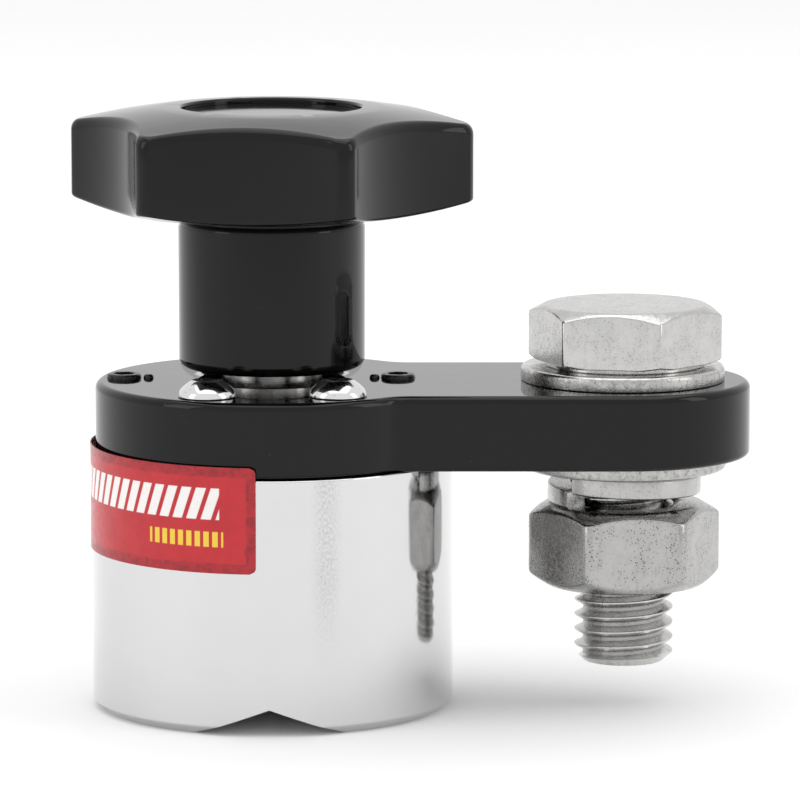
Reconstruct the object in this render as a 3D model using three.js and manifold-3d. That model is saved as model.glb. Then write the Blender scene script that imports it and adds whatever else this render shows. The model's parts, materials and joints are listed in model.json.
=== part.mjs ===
// Switchable magnetic welding ground clamp: a round magnet housing with a V-groove in its foot, a coated
// plate whose arm carries an M10 bolt for the cable lug, and a six-point knob that turns the upper magnet
// by half a turn. Millimetres, +Z up, the foot at z = 0, the front towards -Y, the arm towards +X.
import * as THREE from "three";
import { mergeVertices } from "three/addons/utils/BufferGeometryUtils.js";
import Module from "manifold-3d";

const wasm = await Module();
wasm.setup();

// ---- Driving dimensions ----
const GAP = 0.3; // clearance between curved pieces that touch on the real clamp
const FINE = 48; // sides of a large round
const MEDIUM = 32; // sides of a shaft or washer
const COARSE = 16; // sides of a small screw or pin

const HOUSING = { r: 18.1, height: 25.4, boreR: 11.4, boreFloor: 4.2, edge: 0.9 };
const GROOVE = { width: 15.0, depth: 2.7 };
const PLATE = { r: 17.7, bottom: 25.4, top: 32.9, edge: 0.7 };
const ARM = { boltX: 35.3, r: 12.55, boltHoleR: 5.5, fillet: 3.6 };
const MAGNET = { r: 11.0, fixedTop: 11.4, spacerTop: 11.9, rotorBottom: 12.1, rotorTop: 19.1 };
const KEY = { width: 3.4, depth: 1.4, slotWidth: 4.0, slotDepth: 1.7, reach: 10.2 };
const CARRIER = { r: 10.9, top: 25.1, seatFloor: 19.4 };
const SHAFT = { r: 5.0, bottom: 19.6, top: 54.9, tapR: 2.8, tapFloor: 46.0 };
const DRIVE_PIN = { r: 0.9, half: 9.5, z: 20.9 };
const STOP = { orbit: 8.5, r: 1.2, bottom: 23.5, top: 29.4, slotFloor: 23.2, angle: 90 };
const THRUST = { inner: 5.4, outer: 7.2, bottom: 25.2, top: 25.8 };
const BUSH = { outer: 6.3, bottom: 26.0, top: 30.4 };
const SEAL = { orbit: 6.35, r: 0.75, z: 31.65, pocketR: 7.4, pocketFloor: 30.8 };
const KNOB = {
  cornerR: 20.5, // to the sharp corner of the six-point outline
  hollow: 1.7, // how far each side curves in
  turn: -7.5, // degrees from +X to the first corner
  bottom: 49.6,
  top: 60.3,
  rimR: 10.4, // top ring's outer radius, from where the top falls to the corners
  topDrop: 1.65,
  bottomRise: 1.55, // at the corners; a third of it by the middle of a side
  sideR: 15.8, // to the middle of a side
  recessR: 9.0,
  recessFloor: 59.45,
};
const STEM = { r: 9.3, bottom: 34.25 };
const INSERT = { across: 14.0, bottom: 49.7, top: 54.8, pocketR: 8.5, pocketTop: 55.1 };
const KNOB_SCREW = { headR: 4.5, headBottom: 56.0, headTop: 57.9, r: 2.4, end: 46.5 };
const CAP = { r: 8.7, bottom: 58.2 };
const PLATE_SCREW = { orbit: 13.7, angle: 62, turn: 1.4, headR: 2.85, headH: 1.65, flatR: 1.5, r: 1.2, length: 12 };
const GRUB = { left: -14.85, right: 12.6, y: 0.8, r: 1.7, floor: 27.0, proud: 0.45, socket: 2.0 };
const PIP = { left: -12.4, right: 10.25, y: 0.6, r: 0.5, floor: 30.5, proud: 0.4 };
const HEX = { across: 17.0, cornerCut: 0.9 };
const BOLT = { r: 4.9, end: 4.4, headBottom: 34.4, headTop: 40.5, turn: -11 };
const NUT = { bottom: 12.2, top: 20.5, boreR: 5.2, turn: 6 };
const WASHER = { outer: 10.2, inner: 5.25, lowerBottom: 24.0, slack: 0.2 };
const SPRING = { inner: 5.3, outer: 7.7, thickness: 2.0, splitDeg: 5, splitAt: -137 };
const LABEL = { inner: 18.2, outer: 18.35, bottom: 16.2, top: 26.7, from: -94, to: -224 };
const ORIGIN_X = 14.1; // middle of the overall length, measured from the knob's axis

// ---- Solids ----
const rad = THREE.MathUtils.degToRad;

// A closed three.js geometry as a solid that can be joined and cut.
function solid(geometry) {
  geometry.deleteAttribute("normal");
  geometry.deleteAttribute("uv");
  const merged = mergeVertices(geometry, 1e-4);
  return new wasm.Manifold(
    new wasm.Mesh({
      numProp: 3,
      vertProperties: merged.attributes.position.array,
      triVerts: new Uint32Array(merged.index.array),
    }),
  );
}

function geometryOf(body) {
  const mesh = body.getMesh();
  const geometry = new THREE.BufferGeometry();
  geometry.setAttribute("position", new THREE.BufferAttribute(mesh.vertProperties, 3));
  geometry.setIndex(new THREE.BufferAttribute(mesh.triVerts, 1));
  const flat = geometry.toNonIndexed();
  flat.computeVertexNormals();
  return flat;
}

// A solid of revolution about Z; the profile is [radius, z] pairs, anticlockwise.
function turned(profile, sides, x = 0, y = 0) {
  const points = profile.map(([r, z]) => new THREE.Vector2(r, z));
  const geometry = new THREE.LatheGeometry(points, sides);
  geometry.rotateX(Math.PI / 2);
  geometry.translate(x, y, 0);
  return solid(geometry);
}

function rod(r, bottom, top, sides, x = 0, y = 0) {
  return turned([[0, bottom], [r, bottom], [r, top], [0, top]], sides, x, y);
}

// A rod with a 45 degree chamfer at each end.
function chamferedRod(r, bottom, top, cut, sides, x = 0, y = 0) {
  const profile = [
    [0, bottom],
    [r - cut, bottom],
    [r, bottom + cut],
    [r, top - cut],
    [r - cut, top],
    [0, top],
  ];
  return turned(profile, sides, x, y);
}

// A flat ring with its outer edges broken by a chamfer.
function ring(inner, outer, bottom, top, cut, x = 0) {
  const body = chamferedRod(outer, bottom, top, cut, MEDIUM, x);
  return body.subtract(rod(inner, bottom - 1, top + 1, MEDIUM, x));
}

function extruded(shape, bottom, top, options = {}) {
  const bevel = options.bevel || 0;
  const geometry = new THREE.ExtrudeGeometry(shape, {
    depth: top - bottom - 2 * bevel,
    curveSegments: options.curveSegments || 12,
    bevelEnabled: bevel > 0,
    bevelThickness: bevel,
    bevelSize: bevel,
    bevelOffset: -bevel,
    bevelSegments: 1,
  });
  geometry.translate(0, 0, bottom + bevel);
  return solid(geometry);
}

// A regular hexagon across its flats, its first corner turned by some degrees from +X.
function hexagon(across, turn, x = 0, y = 0) {
  const r = across / Math.sqrt(3);
  const shape = new THREE.Shape();
  for (let i = 0; i < 6; i++) {
    const a = rad(turn + 60 * i);
    const px = x + r * Math.cos(a);
    const py = y + r * Math.sin(a);
    if (i === 0) shape.moveTo(px, py);
    else shape.lineTo(px, py);
  }
  shape.closePath();
  return shape;
}

function box(sx, sy, sz, x, y, z) {
  return solid(new THREE.BoxGeometry(sx, sy, sz).translate(x, y, z));
}

// ---- Housing ----
function magnetHousing() {
  const { r, height, boreR, boreFloor, edge } = HOUSING;
  let body = turned([[0, 0], [r - edge, 0], [r, edge], [r, height], [0, height]], FINE);
  body = body.subtract(rod(boreR, boreFloor, height + 1, FINE));
  const vee = new THREE.Shape();
  const slope = GROOVE.depth / (GROOVE.width / 2);
  const half = GROOVE.width / 2 + 1 / slope;
  vee.moveTo(-half, -1);
  vee.lineTo(half, -1);
  vee.lineTo(0, GROOVE.depth);
  vee.closePath();
  const cutter = new THREE.ExtrudeGeometry(vee, { depth: 3 * r, bevelEnabled: false });
  cutter.translate(0, 0, -1.5 * r);
  cutter.rotateX(Math.PI / 2);
  body = body.subtract(solid(cutter));
  for (const [x, y] of plateScrewPlaces()) {
    body = body.subtract(rod(PLATE_SCREW.r + GAP, 20.0, height + 1, COARSE, x, y));
  }
  return body;
}

function fixedMagnet() {
  return chamferedRod(MAGNET.r, HOUSING.boreFloor, MAGNET.fixedTop, 0.3, FINE);
}

function magnetSpacer() {
  return rod(MAGNET.r, MAGNET.fixedTop, MAGNET.spacerTop, FINE);
}

function rotatingMagnet() {
  const { r, rotorBottom, rotorTop } = MAGNET;
  const body = chamferedRod(r - 0.1, rotorBottom, rotorTop, 0.3, FINE);
  const slot = box(3 * r, KEY.slotWidth, 2 * KEY.slotDepth, 0, 0, rotorTop);
  return body.subtract(slot);
}

// The drive disc: a key below sits in the magnet's slot, a blind seat takes the shaft, and an arc slot
// in its top lets it turn by half a turn about the stop pin.
function rotorCarrier() {
  const bottom = MAGNET.rotorTop;
  let body = rod(CARRIER.r, bottom, CARRIER.top, FINE);
  const key = box(2 * KEY.reach, KEY.width, KEY.depth + 1, 0, 0, bottom - KEY.depth / 2 + 0.5);
  body = body.add(key);
  body = body.subtract(rod(SHAFT.r + GAP, CARRIER.seatFloor, CARRIER.top + 1, MEDIUM));
  body = body.subtract(crossRod(DRIVE_PIN.r + GAP, CARRIER.r + 1, DRIVE_PIN.z));
  return body.subtract(stopSlot());
}

function stopSlot() {
  const reach = STOP.r + 0.5;
  const shape = new THREE.Shape();
  const start = rad(STOP.angle);
  const end = rad(STOP.angle + 180);
  shape.absarc(0, 0, STOP.orbit + reach, start, end, false);
  shape.absarc(0, 0, STOP.orbit - reach, end, start, true);
  shape.closePath();
  let slot = extruded(shape, STOP.slotFloor, CARRIER.top + 1, { curveSegments: 24 });
  for (const a of [start, end]) {
    const x = STOP.orbit * Math.cos(a);
    const y = STOP.orbit * Math.sin(a);
    slot = slot.add(rod(reach, STOP.slotFloor, CARRIER.top + 1, COARSE, x, y));
  }
  return slot;
}

// A rod that lies along X through the main axis.
function crossRod(r, half, z) {
  const geometry = new THREE.CylinderGeometry(r, r, 2 * half, COARSE);
  geometry.rotateZ(Math.PI / 2);
  geometry.translate(0, 0, z);
  return solid(geometry);
}

function driveShaft() {
  let body = chamferedRod(SHAFT.r, SHAFT.bottom, SHAFT.top, 0.5, MEDIUM);
  body = body.subtract(rod(SHAFT.tapR, SHAFT.tapFloor, SHAFT.top + 1, COARSE));
  return body.subtract(crossRod(DRIVE_PIN.r + GAP, CARRIER.r, DRIVE_PIN.z));
}

function drivePin() {
  return crossRod(DRIVE_PIN.r, DRIVE_PIN.half, DRIVE_PIN.z);
}

function stopPin() {
  const a = rad(STOP.angle);
  const x = STOP.orbit * Math.cos(a);
  const y = STOP.orbit * Math.sin(a);
  return chamferedRod(STOP.r, STOP.bottom, STOP.top, 0.2, COARSE, x, y);
}

function thrustWasher() {
  return ring(THRUST.inner, THRUST.outer, THRUST.bottom, THRUST.top, 0.1);
}

function shaftBush() {
  return ring(SHAFT.r + GAP, BUSH.outer, BUSH.bottom, BUSH.top, 0.3);
}

function shaftSeal() {
  const profile = [];
  const sides = 8;
  for (let i = 0; i <= sides; i++) {
    const a = (2 * Math.PI * i) / sides;
    profile.push([SEAL.orbit + SEAL.r * Math.cos(a), SEAL.z + SEAL.r * Math.sin(a)]);
  }
  return turned(profile, MEDIUM);
}

// ---- Plate with the arm ----
function plateOutline() {
  const filletY = ARM.r + ARM.fillet;
  const filletX = Math.sqrt((PLATE.r + ARM.fillet) ** 2 - filletY ** 2);
  const corner = Math.atan2(filletY, filletX);
  const shape = new THREE.Shape();
  shape.absarc(0, 0, PLATE.r, corner, -corner, false);
  shape.absarc(filletX, -filletY, ARM.fillet, Math.PI - corner, Math.PI / 2, true);
  shape.absarc(ARM.boltX, 0, ARM.r, -Math.PI / 2, Math.PI / 2, false);
  shape.absarc(filletX, filletY, ARM.fillet, -Math.PI / 2, corner - Math.PI, true);
  shape.closePath();
  return shape;
}

function armPlate() {
  const { bottom, top, edge } = PLATE;
  let body = extruded(plateOutline(), bottom, top, { bevel: edge, curveSegments: 26 });
  body = body.subtract(rod(ARM.boltHoleR, bottom - 1, top + 1, MEDIUM, ARM.boltX));
  body = body.subtract(rod(SHAFT.r + GAP, bottom - 1, top + 1, MEDIUM));
  body = body.subtract(rod(THRUST.outer + GAP, bottom - 1, THRUST.top, MEDIUM));
  body = body.subtract(rod(BUSH.outer + GAP, bottom - 1, BUSH.top, MEDIUM));
  body = body.subtract(rod(SEAL.pocketR, SEAL.pocketFloor, top + 1, MEDIUM));
  for (const [x, y] of plateScrewPlaces()) {
    body = body.subtract(rod(PLATE_SCREW.r + GAP, bottom - 1, top + 1, COARSE, x, y));
  }
  for (const x of [GRUB.left, GRUB.right]) {
    body = body.subtract(rod(GRUB.r + GAP, GRUB.floor, top + 1, COARSE, x, GRUB.y));
  }
  for (const x of [PIP.left, PIP.right]) {
    body = body.subtract(rod(PIP.r + 0.2, PIP.floor, top + 1, COARSE, x, PIP.y));
  }
  const stop = rad(STOP.angle);
  const stopX = STOP.orbit * Math.cos(stop);
  const stopY = STOP.orbit * Math.sin(stop);
  return body.subtract(rod(STOP.r + GAP, bottom - 1, STOP.top, COARSE, stopX, stopY));
}

function plateScrewPlaces() {
  const { orbit, angle, turn } = PLATE_SCREW;
  const turns = [-angle, angle - 180, 180 - angle, angle];
  return turns.map((a) => [orbit * Math.cos(rad(a + turn)), orbit * Math.sin(rad(a + turn))]);
}

// A button head on a plain shank, with a hexagon socket.
function plateScrew(x, y) {
  const { headR, headH, flatR, r, length } = PLATE_SCREW;
  const seat = PLATE.top;
  const profile = [
    [0, seat - length],
    [r, seat - length],
    [r, seat],
    [headR, seat],
    [headR, seat + 0.25],
    [headR * 0.82, seat + headH * 0.6],
    [flatR, seat + headH],
    [0, seat + headH],
  ];
  const socket = extruded(hexagon(2.0, 20, x, y), seat + headH - 1.0, seat + headH + 1);
  return turned(profile, COARSE, x, y).subtract(socket);
}

function grubScrew(x) {
  const top = PLATE.top + GRUB.proud;
  const body = chamferedRod(GRUB.r, GRUB.floor + 0.2, top, 0.2, COARSE, x, GRUB.y);
  return body.subtract(extruded(hexagon(GRUB.socket, 0, x, GRUB.y), top - 2, top + 1));
}

function pip(x) {
  return chamferedRod(PIP.r, PIP.floor + 0.2, PLATE.top + PIP.proud, 0.12, 12, x, PIP.y);
}

// ---- Knob ----
function knobOutline() {
  const { cornerR, hollow, turn } = KNOB;
  const corners = [0, 1, 2, 3, 4, 5, 6].map((i) => {
    const a = rad(turn + 60 * i);
    return new THREE.Vector2(cornerR * Math.cos(a), cornerR * Math.sin(a));
  });
  const nose = 0.05; // part of each side that the rounded corner takes
  const shape = new THREE.Shape();
  for (let i = 0; i < 6; i++) {
    const a = corners[i];
    const b = corners[i + 1];
    const from = a.clone().lerp(b, nose);
    const to = b.clone().lerp(a, nose);
    const middle = from.clone().lerp(to, 0.5);
    const control = middle.clone().setLength(middle.length() - 2 * hollow);
    if (i === 0) shape.moveTo(from.x, from.y);
    shape.quadraticCurveTo(control.x, control.y, to.x, to.y);
    const next = b.clone().lerp(corners[(i + 2) % 6], nose);
    shape.quadraticCurveTo(b.x, b.y, next.x, next.y);
  }
  return shape;
}

// The star is cut to a top that falls and an underside that rises towards the corners.
function knobHead() {
  const { cornerR, bottom, top, rimR, topDrop, bottomRise, sideR, recessR } = KNOB;
  const star = extruded(knobOutline(), bottom, top, { bevel: 0.8, curveSegments: 8 });
  const envelope = turned(
    [
      [0, bottom],
      [STEM.r + 1, bottom],
      [sideR, bottom + bottomRise / 3],
      [cornerR, bottom + bottomRise],
      [cornerR, top - topDrop],
      [rimR, top],
      [0, top],
    ],
    FINE,
  );
  let body = star.intersect(envelope);
  body = body.subtract(rod(recessR, CAP.bottom, top + 1, MEDIUM));
  body = body.subtract(rod(KNOB_SCREW.headR + GAP, KNOB_SCREW.headBottom, top, MEDIUM));
  body = body.subtract(rod(KNOB_SCREW.r + GAP, bottom - 1, top, COARSE));
  return body.subtract(rod(INSERT.pocketR, bottom - 1, INSERT.pocketTop, MEDIUM));
}

function knobStem() {
  return ring(SHAFT.r + GAP, STEM.r, STEM.bottom, KNOB.bottom, 0.8);
}

function knobInsert() {
  const body = extruded(hexagon(INSERT.across, 15), INSERT.bottom, INSERT.top);
  return body.subtract(rod(SHAFT.r + GAP, INSERT.bottom - 1, INSERT.top + 1, MEDIUM));
}

function knobScrew() {
  const { headR, headBottom, headTop, r, end } = KNOB_SCREW;
  const profile = [
    [0, end],
    [r, end],
    [r, headBottom],
    [headR, headBottom],
    [headR, headTop - 0.6],
    [headR - 0.9, headTop],
    [0, headTop],
  ];
  const socket = extruded(hexagon(3.0, 0), headTop - 1.2, headTop + 1);
  return turned(profile, COARSE).subtract(socket);
}

function knobCap() {
  return rod(CAP.r, CAP.bottom, KNOB.recessFloor, MEDIUM);
}

// ---- Lug bolt ----
// A hexagon whose corners are cut by a 30 degree cone at one or both ends.
function hexBody(bottom, top, turn, cutBottom, cutTop) {
  const { across, cornerCut } = HEX;
  const face = across / 2 - 0.4;
  const cornerR = across / Math.sqrt(3) + 0.1;
  const profile = [
    [0, bottom],
    [cutBottom ? face : cornerR, bottom],
    [cornerR, bottom + (cutBottom ? cornerCut : 0)],
    [cornerR, top - (cutTop ? cornerCut : 0)],
    [cutTop ? face : cornerR, top],
    [0, top],
  ];
  if (!cutBottom) profile.splice(2, 1);
  const prism = extruded(hexagon(across, turn, ARM.boltX), bottom, top);
  return prism.intersect(turned(profile, FINE, ARM.boltX));
}

function hexBolt() {
  const { r, end, headBottom, headTop, turn } = BOLT;
  const collar = 0.5; // washer face under the head
  const head = hexBody(headBottom + collar, headTop, turn, false, true);
  const face = rod(HEX.across / 2 - 0.4, headBottom, headBottom + collar, FINE, ARM.boltX);
  const shank = turned(
    [[0, end], [r - 0.9, end], [r, end + 0.9], [r, headBottom + 1], [0, headBottom + 1]],
    MEDIUM,
    ARM.boltX,
  );
  return head.add(face).add(shank);
}

function hexNut() {
  const body = hexBody(NUT.bottom, NUT.top, NUT.turn, true, true);
  return body.subtract(rod(NUT.boreR, NUT.bottom - 1, NUT.top + 1, MEDIUM, ARM.boltX));
}

function flatWasher(bottom, top, shift) {
  return ring(WASHER.inner, WASHER.outer, bottom, top, 0.15, ARM.boltX + shift);
}

// A split ring whose ends stand apart in height, as a left-hand coil of one turn.
function springWasher() {
  const { inner, outer, thickness, splitDeg, splitAt } = SPRING;
  const rise = WASHER.lowerBottom - NUT.top - thickness;
  const steps = 36;
  const sweep = 360 - splitDeg;
  const positions = [];
  for (let i = 0; i <= steps; i++) {
    const a = rad(splitAt + splitDeg / 2 + (sweep * i) / steps);
    const z = NUT.top + rise * (1 - i / steps);
    for (const [r, lift] of [[inner, 0], [outer, 0], [outer, thickness], [inner, thickness]]) {
      positions.push(ARM.boltX + r * Math.cos(a), r * Math.sin(a), z + lift);
    }
  }
  const index = [0, 1, 2, 0, 2, 3];
  const last = 4 * steps;
  index.push(last, last + 2, last + 1, last, last + 3, last + 2);
  for (let i = 0; i < steps; i++) {
    for (let k = 0; k < 4; k++) {
      const a = 4 * i + k;
      const b = 4 * i + ((k + 1) % 4);
      index.push(a, a + 4, b, b, a + 4, b + 4);
    }
  }
  const geometry = new THREE.BufferGeometry();
  geometry.setAttribute("position", new THREE.Float32BufferAttribute(positions, 3));
  geometry.setIndex(index);
  return solid(geometry);
}

// ---- Label ----
function ratingLabel() {
  const { inner, outer, bottom, top, from, to } = LABEL;
  const shape = new THREE.Shape();
  shape.absarc(0, 0, outer, rad(from), rad(to), true);
  shape.absarc(0, 0, inner, rad(to), rad(from), false);
  shape.closePath();
  return extruded(shape, bottom, top, { curveSegments: 30 });
}

// ---- Materials ----
function material(color, roughness, metalness) {
  return new THREE.MeshStandardMaterial({ color, roughness, metalness });
}

const MATERIALS = {
  chrome: material(0xd9dadb, 0.12, 1.0),
  steel: material(0xb9bab8, 0.3, 1.0),
  stainless: material(0xc9c8c4, 0.25, 1.0),
  blackCoat: material(0x0c0c0d, 0.18, 0.0),
  blackPlastic: material(0x0a0a0b, 0.22, 0.0),
  blackOxide: material(0x161616, 0.35, 0.6),
  magnet: material(0x8e9093, 0.35, 1.0),
  brass: material(0xb8923f, 0.3, 1.0),
  bronze: material(0x9c6b34, 0.4, 1.0),
  rubber: material(0x141414, 0.8, 0.0),
  redLabel: material(0xc8141c, 0.3, 0.0),
};

// ---- Assembly ----
const clamp = new THREE.Group();

function place(name, body, finish) {
  const mesh = new THREE.Mesh(geometryOf(body), MATERIALS[finish]);
  mesh.name = name;
  clamp.add(mesh);
}

place("magnet_housing", magnetHousing(), "chrome");
place("fixed_magnet", fixedMagnet(), "magnet");
place("magnet_spacer", magnetSpacer(), "brass");
place("rotating_magnet", rotatingMagnet(), "magnet");
place("rotor_carrier", rotorCarrier(), "steel");
place("drive_shaft", driveShaft(), "steel");
place("drive_pin", drivePin(), "steel");
place("stop_pin", stopPin(), "steel");
place("thrust_washer", thrustWasher(), "brass");
place("shaft_bush", shaftBush(), "bronze");
place("shaft_seal", shaftSeal(), "rubber");
place("arm_plate", armPlate(), "blackCoat");
plateScrewPlaces().forEach(([x, y], i) => {
  place("plate_screw_" + (i + 1), plateScrew(x, y), "chrome");
});
place("grub_screw_left", grubScrew(GRUB.left), "blackOxide");
place("grub_screw_right", grubScrew(GRUB.right), "blackOxide");
place("witness_pin_left", pip(PIP.left), "blackOxide");
place("witness_pin_right", pip(PIP.right), "blackOxide");
place("knob_head", knobHead(), "blackPlastic");
place("knob_stem", knobStem(), "blackPlastic");
place("knob_insert", knobInsert(), "steel");
place("knob_screw", knobScrew(), "steel");
place("knob_cap", knobCap(), "blackPlastic");
place("hex_bolt", hexBolt(), "stainless");
place("upper_washer", flatWasher(PLATE.top, BOLT.headBottom, -WASHER.slack), "stainless");
place("lower_washer", flatWasher(WASHER.lowerBottom, PLATE.bottom, 0), "stainless");
place("spring_washer", springWasher(), "stainless");
place("hex_nut", hexNut(), "stainless");
place("rating_label", ratingLabel(), "redLabel");

// The origin is at the foot, under the middle of the overall length.
clamp.position.set(-ORIGIN_X, 0, 0);

export default clamp;
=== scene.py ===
"""Looks for the magnetic ground clamp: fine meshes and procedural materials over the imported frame."""

import json
import math

import bmesh
import bpy
import numpy as np
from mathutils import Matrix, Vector


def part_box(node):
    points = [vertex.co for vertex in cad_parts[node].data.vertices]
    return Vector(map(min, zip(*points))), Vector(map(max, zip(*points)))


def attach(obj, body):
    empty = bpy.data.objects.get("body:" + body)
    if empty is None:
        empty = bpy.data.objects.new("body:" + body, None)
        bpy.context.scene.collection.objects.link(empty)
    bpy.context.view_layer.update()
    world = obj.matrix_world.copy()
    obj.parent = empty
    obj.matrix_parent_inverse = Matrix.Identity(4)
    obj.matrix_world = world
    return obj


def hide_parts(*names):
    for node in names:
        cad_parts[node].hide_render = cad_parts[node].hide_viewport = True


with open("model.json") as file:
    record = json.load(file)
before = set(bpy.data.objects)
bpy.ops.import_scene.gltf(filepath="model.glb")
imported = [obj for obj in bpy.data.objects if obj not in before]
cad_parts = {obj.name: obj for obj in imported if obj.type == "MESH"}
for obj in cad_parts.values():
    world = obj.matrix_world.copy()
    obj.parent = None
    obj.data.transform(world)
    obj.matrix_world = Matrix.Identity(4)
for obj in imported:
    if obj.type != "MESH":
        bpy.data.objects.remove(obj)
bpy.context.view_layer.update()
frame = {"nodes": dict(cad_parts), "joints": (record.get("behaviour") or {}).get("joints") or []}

MM = 0.001
ROUND = 160  # sides of a large round
SMALL = 64  # sides of a screw or pin

# ---- Places, in millimetres, from the frame ----
JOINTS = {j["name"]: j for j in frame["joints"]}
AXIS = (JOINTS["knob_turn"]["pos_m"][0] / MM, 0.0)  # the knob's and housing's axis
LUG = (JOINTS["nut_spin"]["pos_m"][0] / MM, 0.0)  # the bolt's axis


def span(node):
    """A node's lowest and highest corners in millimetres."""
    low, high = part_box(node)
    return [v / MM for v in low], [v / MM for v in high]


def centre(node):
    """The middle of a node, seen from above."""
    low, high = span(node)
    return (low[0] + high[0]) / 2, (low[1] + high[1]) / 2


# ---- Mesh making, all in millimetres ----
def build(name, verts, faces, sharp=32.0):
    """A mesh object from points in millimetres, smooth except across edges sharper than some degrees."""
    mesh = bpy.data.meshes.new(name)
    mesh.from_pydata([tuple(c * MM for c in v) for v in verts], [], faces)
    bm = bmesh.new()
    bm.from_mesh(mesh)
    bmesh.ops.remove_doubles(bm, verts=bm.verts, dist=1e-8)
    bmesh.ops.recalc_face_normals(bm, faces=bm.faces)
    bm.to_mesh(mesh)
    bm.free()
    obj = bpy.data.objects.new(name, mesh)
    bpy.context.scene.collection.objects.link(obj)
    return soften(obj, sharp)


def soften(obj, sharp=32.0):
    obj.data.shade_smooth()
    obj.data.set_sharp_from_angle(angle=math.radians(sharp))
    return obj


def even_normals(obj):
    """Large flat faces keep their own normal beside a small fillet."""
    mod = obj.modifiers.new("normals", "WEIGHTED_NORMAL")
    mod.keep_sharp = True
    mod.weight = 50
    return obj


def loft(name, rings, closed=False, sharp=32.0):
    """Quads between rings of the same length. A ring of one point is a pole; an open end is capped."""
    verts, index = [], []
    n = max(len(r) for r in rings)
    for ring in rings:
        start = len(verts)
        verts.extend(ring)
        index.append([start] * n if len(ring) == 1 else list(range(start, start + n)))
    faces = []
    pairs = list(zip(index, index[1:]))
    if closed:
        pairs.append((index[-1], index[0]))
    for low, high in pairs:
        for j in range(n):
            k = (j + 1) % n
            face = []
            for v in (low[j], low[k], high[k], high[j]):
                if v not in face:
                    face.append(v)
            if len(face) > 2:
                faces.append(face)
    if not closed:
        for end in (index[0], index[-1]):
            if len(set(end)) > 1:
                faces.append(end)
    return build(name, verts, faces, sharp)


def rounded(points, closed=False, steps=4):
    """A profile of (r, z) or (r, z, fillet radius) points with each fillet drawn as an arc."""
    out = []
    count = len(points)
    for i, p in enumerate(points):
        radius = p[2] if len(p) > 2 else 0.0
        here = np.array(p[:2], float)
        if radius <= 0 or (not closed and i in (0, count - 1)):
            out.append(tuple(here))
            continue
        before = np.array(points[i - 1][:2], float)
        after = np.array(points[(i + 1) % count][:2], float)
        a = (before - here) / np.linalg.norm(before - here)
        b = (after - here) / np.linalg.norm(after - here)
        half = math.acos(max(-1.0, min(1.0, float(a @ b)))) / 2
        if half > math.radians(89):
            out.append(tuple(here))
            continue
        centre = here + (a + b) / np.linalg.norm(a + b) * radius / math.sin(half)
        start = here + a * radius / math.tan(half) - centre
        end = here + b * radius / math.tan(half) - centre
        first = math.atan2(start[1], start[0])
        turn = math.atan2(end[1], end[0]) - first
        turn = (turn + math.pi) % (2 * math.pi) - math.pi
        for s in range(steps + 1):
            t = first + turn * s / steps
            out.append((centre[0] + radius * math.cos(t), centre[1] + radius * math.sin(t)))
    return out


def circle(r, z, at, angles):
    if r < 1e-6:
        return [(at[0], at[1], z)]
    return [(at[0] + r * math.cos(a), at[1] + r * math.sin(a), z) for a in angles]


def turns(n):
    return [2 * math.pi * i / n for i in range(n)]


def revolve(name, profile, at, sides=ROUND, closed=False, sharp=32.0, steps=4):
    angles = turns(sides)
    rings = [circle(r, z, at, angles) for r, z in rounded(profile, closed, steps)]
    return loft(name, rings, closed, sharp)


def carve(obj, cutter, operation="DIFFERENCE"):
    """Cuts, joins or intersects obj with cutter and removes the cutter."""
    mod = obj.modifiers.new("carve", "BOOLEAN")
    mod.operation = operation
    mod.solver = "EXACT"
    mod.object = cutter
    bpy.context.view_layer.update()
    deps = bpy.context.evaluated_depsgraph_get()
    mesh = bpy.data.meshes.new_from_object(obj.evaluated_get(deps))
    obj.modifiers.clear()
    old = obj.data
    obj.data = mesh
    bpy.data.meshes.remove(old)
    bpy.data.objects.remove(cutter)
    return obj


def hex_angles(across, corner, turn, flats=8, nose=7):
    """Angles round a hexagon, close together at its rounded corners, and its radius at each."""
    flat = across / 2
    centre = (flat - corner) / math.cos(math.radians(30))
    tangent = math.radians(30) - math.atan2(centre * 0.5, flat)
    side = np.linspace(tangent, math.radians(30), flats)
    offsets = np.concatenate([-side[::-1][1:], np.linspace(-tangent, tangent, nose)[1:-1], side])
    angles, radii = [], []
    for k in range(6):
        for phi in offsets:
            if abs(phi) < tangent:
                r = centre * math.cos(phi) + math.sqrt(corner**2 - (centre * math.sin(phi)) ** 2)
            else:
                r = flat / math.cos(math.radians(30) - abs(phi))
            angles.append(math.radians(turn + 60 * k) + phi)
            radii.append(r)
    return angles, radii


def polar(radii, heights, at, angles):
    return [
        (at[0] + r * math.cos(a), at[1] + r * math.sin(a), z)
        for r, z, a in zip(radii, heights, angles)
    ]


def hex_prism(name, across, bottom, top, at, turn):
    """A plain hexagon for cutting a socket."""
    angles = [math.radians(turn + 60 * k) for k in range(6)]
    r = across / math.sqrt(3)
    return loft(name, [circle(r, bottom, at, angles), circle(r, top, at, angles)])


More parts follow.
